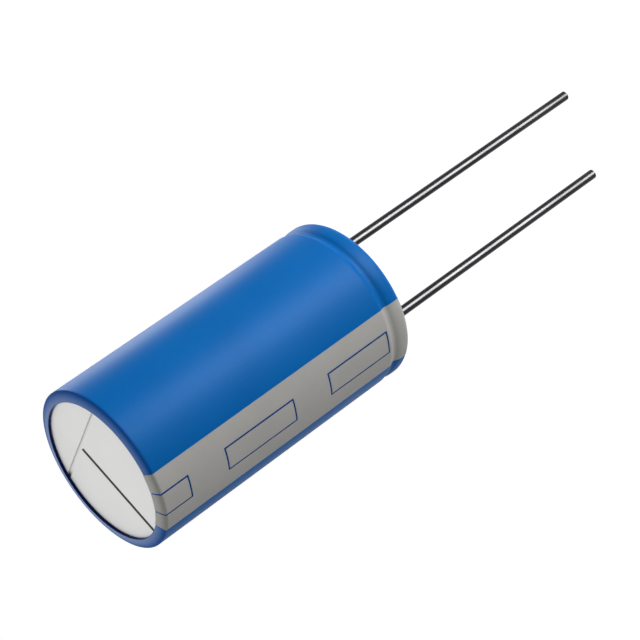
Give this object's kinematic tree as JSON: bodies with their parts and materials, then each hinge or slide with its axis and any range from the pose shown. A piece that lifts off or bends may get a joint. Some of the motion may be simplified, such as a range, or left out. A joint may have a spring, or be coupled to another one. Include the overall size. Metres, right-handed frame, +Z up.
{
  "type": "supercapacitor",
  "caption": "Cylindrical radial-lead supercapacitor: drawn can in a blue sleeve with a printed polarity stripe, scored vent end, crimped rubber bung and straight wires.",
  "frame": {"origin": "on the can's axis, in the seating plane: the lowest face of the sleeved rim, midway between the wires", "axes": "+Z up along the can from the seating plane to the vent end, so the wires run along -Z; +X towards the positive, longer wire"},
  "size_m": [0.01, 0.01, 0.0406],
  "materials": {
    "blue_sleeve": "smooth satin shrink film",
    "grey_ink": "satin printed ink",
    "can_aluminium": "fine drawn, matt",
    "bung_rubber": "smooth moulded",
    "tinned_wire": "bright tin plate",
    "terminal_aluminium": "bright pressed",
    "carbon_coating": "matt carbon",
    "separator_paper": "unglazed",
    "tape_film": "smooth film"
  },
  "bodies": {
    "root": {"sleeve": "blue_sleeve", "stripe_print": "grey_ink", "can": "can_aluminium", "rubber_bung": "bung_rubber", "positive_wire": "tinned_wire", "negative_wire": "tinned_wire", "positive_terminal": "terminal_aluminium", "negative_terminal": "terminal_aluminium", "positive_electrode": "carbon_coating", "negative_electrode": "carbon_coating", "inner_separator": "separator_paper", "outer_separator": "separator_paper", "element_tape": "tape_film"}
  },
  "joints": []
}
